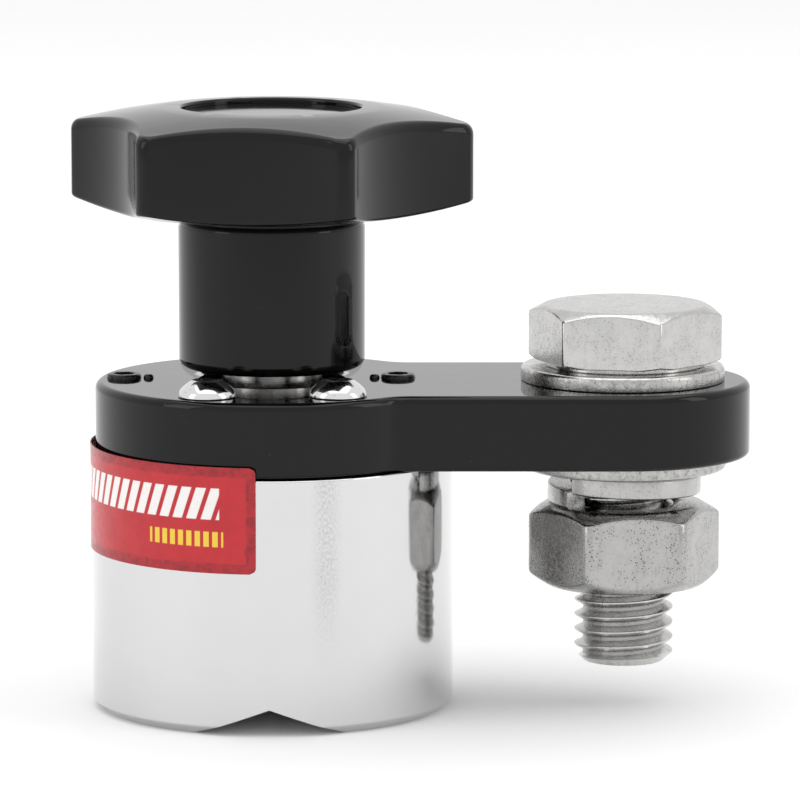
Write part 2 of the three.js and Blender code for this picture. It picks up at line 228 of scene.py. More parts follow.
# ---- Materials ----
class Nodes:
    """A short way to write a material's nodes."""

    def __init__(self, name):
        self.material = bpy.data.materials.new(name)
        self.material.use_nodes = True
        self.tree = self.material.node_tree
        self.bsdf = self.tree.nodes["Principled BSDF"]
        self.place = self.add("ShaderNodeTexCoord").outputs["Object"]

    def add(self, kind, **settings):
        node = self.tree.nodes.new(kind)
        for key, value in settings.items():
            setattr(node, key, value)
        return node

    def feed(self, socket, value):
        if isinstance(value, bpy.types.NodeSocket):
            self.tree.links.new(value, socket)
        else:
            socket.default_value = value

    def math(self, operation, a, b=0.0):
        node = self.add("ShaderNodeMath", operation=operation)
        self.feed(node.inputs[0], a)
        self.feed(node.inputs[1], b)
        return node.outputs[0]

    def times(self, a, b):
        return self.math("MULTIPLY", a, b)

    def plus(self, a, b):
        return self.math("ADD", a, b)

    def noise(self, scale, detail=3.0, roughness=0.5, place=None):
        node = self.add("ShaderNodeTexNoise")
        self.feed(node.inputs["Vector"], place or self.place)
        node.inputs["Scale"].default_value = scale
        node.inputs["Detail"].default_value = detail
        node.inputs["Roughness"].default_value = roughness
        return node.outputs["Fac"]

    def cells(self, scale):
        node = self.add("ShaderNodeTexVoronoi")
        self.feed(node.inputs["Vector"], self.place)
        node.inputs["Scale"].default_value = scale
        return node.outputs["Distance"]

    def stretch(self, x, y, z):
        node = self.add("ShaderNodeVectorMath", operation="MULTIPLY")
        self.feed(node.inputs[0], self.place)
        node.inputs[1].default_value = (x, y, z)
        return node.outputs[0]

    def shift(self, x, y, z):
        node = self.add("ShaderNodeVectorMath", operation="SUBTRACT")
        self.feed(node.inputs[0], self.place)
        node.inputs[1].default_value = (x, y, z)
        return node.outputs[0]

    def xyz(self, vector):
        node = self.add("ShaderNodeSeparateXYZ")
        self.feed(node.inputs[0], vector)
        return node.outputs

    def vector(self, x, y, z):
        node = self.add("ShaderNodeCombineXYZ")
        for socket, value in zip(node.inputs, (x, y, z)):
            self.feed(socket, value)
        return node.outputs[0]

    def around(self, at):
        """(angle in radians, height, radius) about a vertical axis, in metres."""
        x, y, z = self.xyz(self.shift(at[0] * MM, at[1] * MM, 0.0))
        angle = self.math("ARCTAN2", y, x)
        radius = self.math("SQRT", self.plus(self.times(x, x), self.times(y, y)))
        return angle, z, radius

    def ramp(self, value, low, high, out_low=0.0, out_high=1.0):
        """A smooth step from out_low to out_high while value goes from low to high."""
        node = self.add("ShaderNodeMapRange", clamp=True, interpolation_type="SMOOTHSTEP")
        self.feed(node.inputs["Value"], value)
        limits = {"From Min": low, "From Max": high, "To Min": out_low, "To Max": out_high}
        for key, number in limits.items():
            node.inputs[key].default_value = number
        return node.outputs["Result"]

    def mix(self, factor, a, b):
        node = self.add("ShaderNodeMix", data_type="RGBA")
        self.feed(node.inputs["Factor"], factor)
        self.feed(node.inputs[6], (*a, 1.0) if isinstance(a, tuple) else a)
        self.feed(node.inputs[7], (*b, 1.0) if isinstance(b, tuple) else b)
        return node.outputs[2]

    def bump(self, height, distance, strength=1.0, under=None):
        node = self.add("ShaderNodeBump")
        node.inputs["Distance"].default_value = distance
        node.inputs["Strength"].default_value = strength
        self.feed(node.inputs["Height"], height)
        if under is not None:
            self.feed(node.inputs["Normal"], under)
        return node.outputs["Normal"]

    def surface(self, color, roughness, metallic=0.0, normal=None, ior=1.45):
        b = self.bsdf.inputs
        self.feed(b["Base Color"], (*color, 1.0) if isinstance(color, tuple) else color)
        self.feed(b["Roughness"], roughness)
        self.feed(b["Metallic"], metallic)
        b["IOR"].default_value = ior
        if normal is not None:
            self.feed(b["Normal"], normal)
        return self.material


def edge_wear(n, low=0.52, high=0.62):
    """How exposed a convex edge is. A pointiness of 0.5 is flat."""
    geometry = n.add("ShaderNodeNewGeometry")
    return n.ramp(geometry.outputs["Pointiness"], low, high)


def hollow_shade(n):
    """How deep in a hollow a point lies, for the painted shade that darkens it."""
    geometry = n.add("ShaderNodeNewGeometry")
    return n.ramp(geometry.outputs["Pointiness"], 0.50, 0.42, 0.0, 0.85)


def chrome_housing():
    """Mirror plating over turned steel: faint rings, a soft waviness, and a grainy upright band."""
    n = Nodes("mirror_chrome")
    angle, z, _ = n.around(AXIS)
    rings = n.noise(1.0, 2.0, 0.6, n.vector(n.times(angle, 1.2), n.times(z, 9000.0), 0.0))
    wave = n.noise(1.0, 1.0, 0.5, n.vector(n.times(angle, 2.2), n.times(z, 60.0), 0.0))
    grain = n.noise(1.0, 4.0, 0.7, n.vector(n.times(angle, 90.0), n.times(z, 3000.0), 0.0))
    haze = n.noise(260.0, 3.0, 0.55)
    band = n.times(n.ramp(angle, -1.36, -1.27), n.ramp(angle, -1.15, -1.24))
    band = n.times(band, n.ramp(z, 0.006, 0.016))
    speckle = n.times(band, n.ramp(grain, 0.35, 0.7))
    roughness = n.plus(n.ramp(haze, 0.35, 0.75, 0.075, 0.10), n.times(speckle, 0.2))
    color = n.mix(n.ramp(haze, 0.3, 0.8), (0.665, 0.665, 0.67), (0.655, 0.655, 0.66))
    color = n.mix(n.times(speckle, 0.8), color, (0.46, 0.46, 0.465))
    normal = n.bump(wave, 0.00035, 0.35)
    normal = n.bump(rings, 0.0000012, 0.5, normal)
    normal = n.bump(n.times(grain, band), 0.000004, 0.6, normal)
    return n.surface(color, roughness, 1.0, normal)


def bright_chrome():
    """The button-head screws: bright plating, lightly marked."""
    n = Nodes("screw_chrome")
    haze = n.noise(900.0, 4.0, 0.6)
    spots = n.ramp(n.noise(2600.0, 2.0), 0.66, 0.74)
    color = n.mix(spots, (0.74, 0.74, 0.74), (0.38, 0.38, 0.38))
    roughness = n.ramp(haze, 0.3, 0.8, 0.06, 0.18)
    return n.surface(color, roughness, 1.0, n.bump(haze, 0.00002, 0.25))


def stainless(name, base, dark, pit, grain):
    """Cold-formed stainless: brushed grain, small dark pits, painted shade in the hollows and brighter
    rubbed edges.
    """
    n = Nodes(name)
    fine = n.noise(2200.0, 4.0, 0.65)
    streak = n.noise(1.0, 4.0, 0.6, n.stretch(2200.0, 2200.0, 700.0))
    blotch = n.noise(420.0, 3.0, 0.6)
    pits = n.times(n.ramp(n.cells(3800.0), 0.34, 0.12), n.ramp(blotch, 0.38, 0.56))
    pits = n.times(pits, pit)
    wear = edge_wear(n)
    color = n.mix(n.ramp(blotch, 0.3, 0.75), base, tuple(c * 0.88 for c in base))
    color = n.mix(n.times(n.ramp(streak, 0.5, 0.8), grain), color, dark)
    # Dark tone for the real pits and for the painted shade in concave hollows.
    pit_dirt_and_shade = tuple(c * 0.3 for c in dark)
    color = n.mix(pits, color, pit_dirt_and_shade)
    # Concave hollows darkened by pointiness: painted shade.
    color = n.mix(hollow_shade(n), color, pit_dirt_and_shade)
    color = n.mix(n.times(wear, 0.7), color, (0.78, 0.78, 0.77))
    roughness = n.plus(n.ramp(fine, 0.3, 0.75, 0.13, 0.30), n.times(pits, 0.3))
    normal = n.bump(streak, 0.00002, 0.25)
    normal = n.bump(n.math("SUBTRACT", fine, pits), 0.00003, 0.35, normal)
    return n.surface(color, roughness, 1.0, normal)


def washer_steel(name, at):
    """A stamped washer: a bright face and a dark, torn rim."""
    n = Nodes(name)
    angle, z, _ = n.around(at)
    torn = n.noise(1.0, 5.0, 0.75, n.vector(n.times(angle, 16.0), n.times(z, 1500.0), 0.0))
    face = n.noise(1500.0, 4.0, 0.6)
    geometry = n.add("ShaderNodeNewGeometry")
    upright = n.ramp(n.math("ABSOLUTE", n.xyz(geometry.outputs["Normal"])[2]), 0.75, 0.25)
    rim = n.times(upright, n.ramp(torn, 0.45, 0.72, 0.0, 0.7))
    color = n.mix(n.ramp(face, 0.3, 0.75), (0.60, 0.595, 0.585), (0.42, 0.415, 0.405))
    color = n.mix(n.times(upright, 0.5), color, (0.42, 0.415, 0.40))
    color = n.mix(rim, color, (0.10, 0.098, 0.094))
    roughness = n.plus(n.ramp(face, 0.3, 0.8, 0.14, 0.28), n.times(rim, 0.25))
    normal = n.bump(face, 0.00002, 0.3)
    normal = n.bump(n.times(torn, upright), 0.00009, 0.6, normal)
    return n.surface(color, roughness, 1.0, normal)


def turned_steel():
    """The drive shaft: fine turning rings and light staining."""
    n = Nodes("turned_steel")
    angle, z, radius = n.around(AXIS)
    fine = n.vector(n.times(angle, 1.5), n.times(z, 12000.0), n.times(radius, 9000.0))
    rings = n.noise(1.0, 3.0, 0.6, fine)
    stain = n.noise(500.0, 4.0, 0.6)
    color = n.mix(n.ramp(stain, 0.35, 0.7), (0.50, 0.49, 0.475), (0.30, 0.29, 0.28))
    roughness = n.ramp(stain, 0.3, 0.8, 0.16, 0.36)
    return n.surface(color, roughness, 1.0, n.bump(rings, 0.000006, 0.7))


def black_coat():
    """Thick gloss coating on the plate: soft orange peel, a few specks, thinner and browner at edges."""
    n = Nodes("gloss_black_coat")
    peel = n.noise(420.0, 2.0, 0.5)
    fine = n.noise(5200.0, 3.0, 0.6)
    speck = n.ramp(n.noise(1700.0, 2.0, 0.6), 0.72, 0.78)
    dust = n.ramp(n.noise(90.0, 4.0, 0.65), 0.45, 0.8)
    wear = edge_wear(n, 0.54, 0.66)
    color = n.mix(speck, (0.0030, 0.0030, 0.0033), (0.02, 0.02, 0.02))
    color = n.mix(n.times(wear, 0.5), color, (0.02, 0.019, 0.018))
    roughness = n.plus(n.ramp(dust, 0.0, 1.0, 0.055, 0.12), n.times(speck, 0.2))
    normal = n.bump(peel, 0.00003, 0.22)
    normal = n.bump(fine, 0.0000015, 0.3, normal)
    return n.surface(color, roughness, 0.0, normal, ior=1.34)


def black_plastic(name, roughness_low=0.07, roughness_high=0.15, peel=0.25):
    """Gloss moulded phenolic: soft moulding waves, fine scuffs, faint dust."""
    n = Nodes(name)
    wave = n.noise(150.0, 1.0, 0.5)
    fine = n.noise(4200.0, 3.0, 0.6)
    smear = n.noise(70.0, 4.0, 0.6)
    scuff = n.ramp(n.noise(1.0, 3.0, 0.7, n.stretch(500.0, 3800.0, 900.0)), 0.62, 0.82)
    wear = edge_wear(n, 0.55, 0.68)
    color = n.mix(scuff, (0.0025, 0.0025, 0.0028), (0.008, 0.008, 0.008))
    color = n.mix(n.times(wear, 0.4), color, (0.02, 0.02, 0.02))
    roughness = n.plus(n.ramp(smear, 0.35, 0.75, roughness_low, roughness_high), n.times(scuff, 0.10))
    normal = n.bump(wave, 0.00012, peel)
    normal = n.bump(fine, 0.000002, 0.3, normal)
    return n.surface(color, roughness, 0.0, normal, ior=1.34)


def black_oxide():
    """Blackened steel with rubbed edges, for the set screws and pins."""
    n = Nodes("black_oxide")
    grain = n.noise(3000.0, 4.0, 0.65)
    wear = edge_wear(n, 0.53, 0.62)
    color = n.mix(n.ramp(grain, 0.35, 0.7), (0.012, 0.012, 0.013), (0.035, 0.034, 0.033))
    color = n.mix(n.times(wear, 0.6), color, (0.25, 0.24, 0.23))
    return n.surface(color, n.ramp(grain, 0.3, 0.8, 0.22, 0.42), 0.6, n.bump(grain, 0.00002, 0.4))


def inner_metal(name, base, dark, roughness):
    """Plain machined metal for the pieces inside."""
    n = Nodes(name)
    grain = n.noise(1800.0, 4.0, 0.6)
    stain = n.noise(240.0, 3.0, 0.6)
    color = n.mix(n.ramp(stain, 0.35, 0.7), base, dark)
    low, high = roughness * 0.7, roughness * 1.4
    return n.surface(color, n.ramp(grain, 0.3, 0.8, low, high), 1.0, n.bump(grain, 0.00002, 0.4))


def rubber():
    n = Nodes("seal_rubber")
    grain = n.noise(3500.0, 4.0, 0.6)
    color = n.mix(n.ramp(grain, 0.35, 0.7), (0.012, 0.012, 0.012), (0.028, 0.028, 0.028))
    return n.surface(color, n.ramp(grain, 0.3, 0.8, 0.5, 0.75), 0.0, n.bump(grain, 0.00003, 0.5))


# The generic marks printed on the label, in millimetres from its right lower corner.
LABEL_STRIPES = {"left": 3.6, "right": 40.0, "low": 5.3, "high": 8.4, "pitch": 1.55, "slant": 0.35}
LABEL_DASHES = {"left": 3.2, "right": 11.4, "low": 2.6, "high": 4.1, "pitch": 0.92}
LABEL_BORDER = 0.95
STRIPE_START = 0.08  # part of the pitch before each stripe


def label_print(width, height):
    """Red film with a darker blotchy border, a band of white slanted stripes and a row of yellow dashes."""
    n = Nodes("red_label")
    uv = n.add("ShaderNodeUVMap", uv_map="label").outputs["UV"]
    u, v, _ = n.xyz(uv)

    def inside(value, low, high, soft=0.05):
        rise = n.ramp(value, low - soft, low + soft)
        return n.times(rise, n.ramp(value, high + soft, high - soft))

    def stripes(mark, slant=0.0, fill=0.68):
        lean = n.plus(u, n.times(v, slant))
        phase = n.math("FRACT", n.math("DIVIDE", lean, mark["pitch"]))
        band = n.times(inside(u, mark["left"], mark["right"]), inside(v, mark["low"], mark["high"]))
        return n.times(band, inside(phase, STRIPE_START, STRIPE_START + fill, 0.04))

    blotch = n.noise(1400.0, 4.0, 0.65)
    wobble = n.times(n.math("SUBTRACT", n.noise(900.0, 3.0, 0.6), 0.5), 0.5)
    edge_u = n.math("MINIMUM", u, n.math("SUBTRACT", width, u))
    edge_v = n.math("MINIMUM", v, n.math("SUBTRACT", height, v))
    edge = n.math("MINIMUM", edge_u, edge_v)
    border = n.ramp(n.plus(edge, wobble), LABEL_BORDER + 0.12, LABEL_BORDER - 0.12)
    red = n.mix(n.ramp(n.noise(500.0, 3.0), 0.35, 0.7), (0.50, 0.018, 0.026), (0.45, 0.015, 0.022))
    dark = n.mix(n.ramp(blotch, 0.4, 0.65), (0.38, 0.013, 0.020), (0.21, 0.010, 0.017))
    color = n.mix(n.times(border, 0.85), red, dark)
    color = n.mix(stripes(LABEL_STRIPES, LABEL_STRIPES["slant"]), color, (0.82, 0.80, 0.78))
    color = n.mix(stripes(LABEL_DASHES, 0.0, 0.62), color, (0.80, 0.55, 0.05))
    roughness = n.ramp(blotch, 0.3, 0.8, 0.20, 0.34)
    normal = n.bump(n.noise(300.0, 2.0), 0.00006, 0.3)
    normal = n.bump(blotch, 0.000006, 0.3, normal)
    return n.surface(color, roughness, 0.0, normal, ior=1.45)


def floor_paint():
    n = Nodes("pale_floor")
    cloud = n.noise(3.0, 3.0, 0.5)
    color = n.mix(n.ramp(cloud, 0.3, 0.7), (0.90, 0.90, 0.90), (0.885, 0.885, 0.885))
    return n.surface(color, 0.75, 0.0, n.bump(n.noise(900.0, 2.0), 0.0001, 0.05), ior=1.2)


MATERIALS = {
    "housing": chrome_housing(),
    "screw": bright_chrome(),
    "bolt": stainless("bolt_stainless", (0.56, 0.555, 0.545), (0.26, 0.255, 0.245), pit=0.45, grain=0.25),
    "nut": stainless("nut_stainless", (0.45, 0.445, 0.435), (0.17, 0.165, 0.16), pit=0.9, grain=0.35),
    "spring": stainless("spring_stainless", (0.49, 0.485, 0.475), (0.22, 0.215, 0.21), pit=0.4, grain=0.3),
    "washer": washer_steel("washer_stainless", LUG),
    "shaft": turned_steel(),
    "coat": black_coat(),
    "knob": black_plastic("knob_phenolic"),
    "stem": black_plastic("stem_phenolic", 0.06, 0.12, 0.12),
    "cap": black_plastic("cap_phenolic", 0.05, 0.10, 0.10),
    "oxide": black_oxide(),
    "magnet": inner_metal("magnet_nickel", (0.60, 0.60, 0.61), (0.48, 0.48, 0.50), 0.28),
    "inner": inner_metal("inner_steel", (0.56, 0.56, 0.55), (0.40, 0.39, 0.38), 0.34),
    "brass": inner_metal("washer_brass", (0.72, 0.55, 0.24), (0.55, 0.40, 0.17), 0.30),
    "bronze": inner_metal("bush_bronze", (0.58, 0.38, 0.18), (0.42, 0.26, 0.12), 0.36),
    "rubber": rubber(),
}


def dress(obj, material, body, node):
    """Gives a finished piece its material and its body, and hides the CAD node that it stands for."""
    obj.data.materials.clear()
    obj.data.materials.append(MATERIALS[material] if isinstance(material, str) else material)
    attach(obj, body)
    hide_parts(node)
    return obj


# ---- Housing and label ----
GROOVE_WIDTH, GROOVE_DEPTH = 15.0, 2.7
FOOT_CHAMFER = 0.9
BORE_R, BORE_FLOOR = 11.4, 4.2
TAP_R, TAP_FLOOR = 1.5, 20.0
LABEL_START, LABEL_SWEEP = math.radians(-94), math.radians(130)
LABEL_CORNER, LABEL_THICKNESS = 0.6, 0.11


def make_housing():
    low, high = span("magnet_housing")
    r = (high[1] - low[1]) / 2
    top = high[2]
    profile = [
        (0, low[2]),
        (r - FOOT_CHAMFER, low[2], 0.1),
        (r, low[2] + FOOT_CHAMFER, 0.25),
        (r, top, 0.18),
        (BORE_R, top, 0.2),
        (BORE_R, BORE_FLOOR),
        (0, BORE_FLOOR),
    ]
    body = revolve("housing_shell", profile, AXIS, 224, sharp=25.0, steps=5)
    slope = GROOVE_DEPTH / (GROOVE_WIDTH / 2)
    half = GROOVE_WIDTH / 2 + 1 / slope
    y = r + 3
    section = [(-half, -1), (half, -1), (0, GROOVE_DEPTH)]
    rings = [[(AXIS[0] + x, side, z) for x, z in section] for side in (-y, y)]
    carve(body, loft("groove_cutter", rings))
    for k in range(4):
        hole = [(0, TAP_FLOOR), (TAP_R, TAP_FLOOR), (TAP_R, top + 1), (0, top + 1)]
        carve(body, revolve("tap_cutter", hole, centre(f"plate_screw_{k + 1}"), 32))
    soften(body, 12.0)
    even_normals(body)
    return dress(body, "housing", "base", "magnet_housing")


def make_label():
    """A thin film wrapped round the housing; its upper margin stands free where it laps the plate."""
    low, high = span("rating_label")
    h_low, h_high = span("magnet_housing")
    r = (h_high[1] - h_low[1]) / 2 + 0.02
    width, height = r * LABEL_SWEEP, high[2] - low[2]
    columns, rows = 120, 28
    rng = np.random.default_rng(7)
    ripple = rng.normal(0, 1, (6, 2))

    def wrinkle(u, v):
        edge = min(u, width - u, v, height - v)
        lift = math.exp(-max(edge, 0.0) / 0.5)
        wave = sum(a * math.sin(1.7 * (k + 1) * u + b) for k, (a, b) in enumerate(ripple))
        return 0.012 * lift * (wave + 2.5)

    outer, inner, uvs = [], [], []
    for i in range(rows + 1):
        t = i / rows
        v = height * (t + 0.12 * math.sin(2 * math.pi * t) / -2)
        near = min(v, height - v)
        inside = max(0.0, LABEL_CORNER - near)
        trim = LABEL_CORNER - math.sqrt(LABEL_CORNER**2 - inside**2)
        for j in range(columns + 1):
            u = trim + (width - 2 * trim) * j / columns
            a = LABEL_START - u / r
            for shell, lift in ((inner, 0.0), (outer, LABEL_THICKNESS)):
                rr = r + lift + wrinkle(u, v)
                shell.append((AXIS[0] + rr * math.cos(a), AXIS[1] + rr * math.sin(a), low[2] + v))
            uvs.append((u, v))
    count = len(inner)
    faces = []

    def at(i, j):
        return i * (columns + 1) + j

    for i in range(rows):
        for j in range(columns):
            quad = [at(i, j), at(i, j + 1), at(i + 1, j + 1), at(i + 1, j)]
            faces.append(quad)
            faces.append([count + q for q in reversed(quad)])
    rim = [at(0, j) for j in range(columns)] + [at(i, columns) for i in range(rows)]
    rim += [at(rows, j) for j in range(columns, 0, -1)] + [at(i, 0) for i in range(rows, 0, -1)]
    for a, b in zip(rim, rim[1:] + rim[:1]):
        faces.append([b, a, count + a, count + b])
    mesh = bpy.data.meshes.new("label_film")
    mesh.from_pydata([tuple(c * MM for c in p) for p in inner + outer], [], faces)
    layer = mesh.uv_layers.new(name="label")
    flat = uvs + uvs
    for loop in mesh.loops:
        layer.data[loop.index].uv = flat[loop.vertex_index]
    bm = bmesh.new()
    bm.from_mesh(mesh)
    bmesh.ops.recalc_face_normals(bm, faces=bm.faces)
    bm.to_mesh(mesh)
    bm.free()
    obj = bpy.data.objects.new("label_film", mesh)
    bpy.context.scene.collection.objects.link(obj)
    soften(obj, 40.0)
    return dress(obj, label_print(width, height), "base", "rating_label")


# ---- Plate ----
DISC_R = 17.7
ARM_HALF = 12.55
ARM_FILLET = 3.6
BOLT_HOLE_R = 5.5
SHAFT_HOLE_R = 5.3
SCREW_HOLE_R = 1.5
SEAL_POCKET_R, SEAL_POCKET_FLOOR = 7.4, 30.8
BUSH_POCKET_R, BUSH_POCKET_TOP = 6.6, 30.4
GRUB_HOLE_R, GRUB_HOLE_FLOOR = 1.75, 27.0
PIP_HOLE_R, PIP_HOLE_FLOOR = 0.55, 30.5


def plate_outline(inset):
    """The disc blended into the round-ended arm, drawn a little smaller by inset."""
    disc, arm, fillet = DISC_R - inset, ARM_HALF - inset, ARM_FILLET + inset
    fy = arm + fillet
    fx = math.sqrt((disc + fillet) ** 2 - fy**2)
    corner = math.atan2(fy, fx)
    half = []
    for t in np.linspace(math.pi, 2 * math.pi - corner, 76):
        half.append((AXIS[0] + disc * math.cos(t), disc * math.sin(t)))
    for t in np.linspace(math.pi - corner, math.pi / 2, 12)[1:]:
        half.append((AXIS[0] + fx + fillet * math.cos(t), -fy + fillet * math.sin(t)))
    start = half[-1][0]
    for t in np.linspace(0, 1, 12)[1:-1]:
        half.append((start + (LUG[0] - start) * t, -arm))
    for t in np.linspace(-math.pi / 2, 0, 46):
        half.append((LUG[0] + arm * math.cos(t), arm * math.sin(t)))
    mirrored = [(x, -y) for x, y in reversed(half[1:-1])]
    return half + mirrored


def make_plate():
    """The coated plate: rounded edges, holes for the screws and the bolt, pockets for bush and seal."""
    low, high = span("arm_plate")
    edge_top, edge_bottom, steps = 0.75, 0.55, 6
    rings = []
    for s in range(steps + 1):
        a = math.pi / 2 * s / steps
        inset = edge_bottom * (1 - math.sin(a))
        rings.append([(x, y, low[2] + edge_bottom * (1 - math.cos(a))) for x, y in plate_outline(inset)])
    for s in range(steps + 1):
        a = math.pi / 2 * s / steps
        inset = edge_top * (1 - math.cos(a))
        rings.append([(x, y, high[2] - edge_top * (1 - math.sin(a))) for x, y in plate_outline(inset)])
    plate = loft("coated_plate", rings, sharp=40.0)
    below, above = low[2] - 1, high[2] + 1
    holes = [(LUG, BOLT_HOLE_R, below, above), (AXIS, SHAFT_HOLE_R, below, above)]
    holes.append((AXIS, SEAL_POCKET_R, SEAL_POCKET_FLOOR, above))
    for k in range(4):
        holes.append((centre(f"plate_screw_{k + 1}"), SCREW_HOLE_R, below, above))
    for side in ("left", "right"):
        holes.append((centre(f"grub_screw_{side}"), GRUB_HOLE_R, GRUB_HOLE_FLOOR, above))
        holes.append((centre(f"witness_pin_{side}"), PIP_HOLE_R, PIP_HOLE_FLOOR, above))
    holes.append((AXIS, BUSH_POCKET_R, below, BUSH_POCKET_TOP))
    for at, r, floor, top in holes:
        carve(plate, revolve("hole_cutter", [(0, floor), (r, floor), (r, top), (0, top)], at, SMALL))
    soften(plate, 35.0)
    even_normals(plate)
    return dress(plate, "coat", "base", "arm_plate")


# ---- Small fasteners ----
SOCKET_ACROSS = 2.0
SHANK_R = 1.2
BUTTON_FLAT_R = 1.45


def make_plate_screw(index):
    node = f"plate_screw_{index}"
    low, high = span(node)
    at = centre(node)
    r = (high[1] - low[1]) / 2
    seat = span("arm_plate")[1][2]
    top = high[2]
    dome = []
    for s in range(9):
        t = s / 8
        dome.append((r - (r - BUTTON_FLAT_R) * t**1.4, seat + 0.25 + (top - seat - 0.25) * t**0.85))
    shank = [(0, low[2]), (SHANK_R, low[2]), (SHANK_R, seat), (r - 0.1, seat), (r, seat + 0.1)]
    screw = revolve(f"button_screw_{index}", shank + dome + [(0, top)], at, SMALL, sharp=38.0)
    carve(screw, hex_prism("socket_cutter", SOCKET_ACROSS, top - 1.0, top + 1, at, 20 + 47 * index))
    soften(screw, 38.0)
    return dress(screw, "screw", "base", node)


def make_grub(side, turn):
    node = f"grub_screw_{side}"
    low, high = span(node)
    at = centre(node)
    r = (high[0] - low[0]) / 2
    profile = [(0, low[2]), (r, low[2], 0.2), (r, high[2], 0.22), (0, high[2])]
    screw = revolve(f"set_screw_{side}", profile, at, SMALL)
    carve(screw, hex_prism("socket_cutter", SOCKET_ACROSS, high[2] - 1.6, high[2] + 1, at, turn))
    soften(screw, 32.0)
    return dress(screw, "oxide", "base", node)


def make_pip(side):
    node = f"witness_pin_{side}"
    low, high = span(node)
    r = (high[0] - low[0]) / 2
    profile = [(0, low[2]), (r, low[2], 0.1), (r, high[2], 0.3), (0, high[2])]
    return dress(revolve(f"pip_{side}", profile, centre(node), 32), "oxide", "base", node)


# ---- Knob ----
KNOB_TURN = -7.5
KNOB_CORNER = 20.5
KNOB_HOLLOW = 1.7
KNOB_NOSE = 0.05
RIM_R = 10.4
TOP_DROP = 1.65
BOTTOM_RISE = 1.5
EDGE_TOP = 0.95
EDGE_BOTTOM = 0.4
SKIRT_R = 9.3
UNDER_FLAT_R = 9.6
STEM_POCKET_R, STEM_POCKET_TOP = 8.5, 55.1
SCREW_BORE_R = 2.7
SCREW_SEAT_R, SCREW_SEAT_Z = 4.8, 56.0
RECESS_R, RECESS_FLOOR = 8.97, 58.2
CAP_RISE = 0.25
STEM_BORE_R = 5.3
SHAFT_TAP_R, SHAFT_TAP_FLOOR = 2.8, 46.0


def quadratic(a, b, c, ts):
    return [(1 - t) ** 2 * a + 2 * t * (1 - t) * b + t * t * c for t in ts]


def knob_outline():
    """Six hollow sides between the corners, each corner rounded by a short curve."""
    corners = []
    for i in range(7):
        a = math.radians(KNOB_TURN + 60 * i)
        corners.append(KNOB_CORNER * np.array([math.cos(a), math.sin(a)]))
    points = []
    for i in range(6):
        a, b = corners[i], corners[i + 1]
        start = a + (b - a) * KNOB_NOSE
        end = b + (a - b) * KNOB_NOSE
        middle = (start + end) / 2
        control = middle * (1 - 2 * KNOB_HOLLOW / np.linalg.norm(middle))
        points += quadratic(start, control, end, np.linspace(0, 1, 29)[:-1])
        following = b + (corners[(i + 2) % 6] - b) * KNOB_NOSE
        points += quadratic(end, b, following, np.linspace(0, 1, 13)[:-1])
    return points


def make_knob_head():
    low, high = span("knob_head")
    bottom, top = low[2], high[2]
    outline = knob_outline()
    radii = [float(np.linalg.norm(p)) for p in outline]
    angles = [math.atan2(p[1], p[0]) for p in outline]

    def z_top(r):
        t = max(0.0, (r - RIM_R) / (KNOB_CORNER - RIM_R))
        return top - TOP_DROP * t**1.25

    def z_bottom(r):
        t = max(0.0, (r - SKIRT_R) / (KNOB_CORNER - SKIRT_R))
        return bottom + BOTTOM_RISE * t**2

    def ring(radius_of, height_of):
        rs = [radius_of(r) for r in radii]
        return polar(rs, [height_of(r, rr) for r, rr in zip(radii, rs)], AXIS, angles)

    def under(r, t):
        return UNDER_FLAT_R + (r - EDGE_BOTTOM - UNDER_FLAT_R) * t

    def shoulder(r, rise):
        return z_top(r) - EDGE_TOP + (EDGE_TOP + z_top(r - EDGE_TOP) - z_top(r)) * rise

    rings = [circle(r, bottom, AXIS, angles) for r in (STEM_POCKET_R, UNDER_FLAT_R)]
    for t in (0.35, 0.7):
        rings.append(ring(lambda r, t=t: under(r, t), lambda r, rr: z_bottom(rr)))
    for s in range(5):
        a = math.pi / 2 * s / 4
        rings.append(
            ring(
                lambda r, a=a: r - EDGE_BOTTOM * (1 - math.sin(a)),
                lambda r, rr, a=a: z_bottom(r) + EDGE_BOTTOM * (1 - math.cos(a)),
            )
        )
    for t in (0.33, 0.66):
        rings.append(
            ring(
                lambda r: r,
                lambda r, rr, t=t: (z_bottom(r) + EDGE_BOTTOM) * (1 - t) + (z_top(r) - EDGE_TOP) * t,
            )
        )
    for s in range(8):
        a = math.pi / 2 * s / 7
        rings.append(
            ring(
                lambda r, a=a: r - EDGE_TOP * (1 - math.cos(a)),
                lambda r, rr, a=a: shoulder(r, math.sin(a)),
            )
        )
    for t in (0.15, 0.3, 0.45, 0.6, 0.75, 0.9):
        rings.append(ring(lambda r, t=t: (r - EDGE_TOP) * (1 - t) + RIM_R * t, lambda r, rr: z_top(rr)))
    rim = [(RIM_R + 0.6, top), (RECESS_R, top, 0.3), (RECESS_R, RECESS_FLOOR)]
    rim += [(SCREW_SEAT_R, RECESS_FLOOR), (SCREW_SEAT_R, SCREW_SEAT_Z)]
    inside = rounded(rim, steps=6)[1:]
    inside += [(SCREW_BORE_R, SCREW_SEAT_Z), (SCREW_BORE_R, STEM_POCKET_TOP)]
    inside.append((STEM_POCKET_R, STEM_POCKET_TOP))
    rings += [circle(r, z, AXIS, angles) for r, z in inside]
    knob = loft("star_knob", rings, closed=True, sharp=48.0)
    even_normals(knob)
    return dress(knob, "knob", "rotor", "knob_head")


def make_stem():
    low, high = span("knob_stem")
    r = (high[0] - low[0]) / 2
    profile = [
        (STEM_BORE_R, low[2], 0.3),
        (r, low[2], 1.0),
        (r + 0.02, high[2] - 1.2),
        (r - 0.35, high[2] - 0.55, 0.3),
        (r - 0.35, high[2]),
        (STEM_BORE_R, high[2]),
    ]
    stem = revolve("knob_skirt", profile, AXIS, ROUND, closed=True, sharp=50.0, steps=7)
    even_normals(stem)
    return dress(stem, "stem", "rotor", "knob_stem")


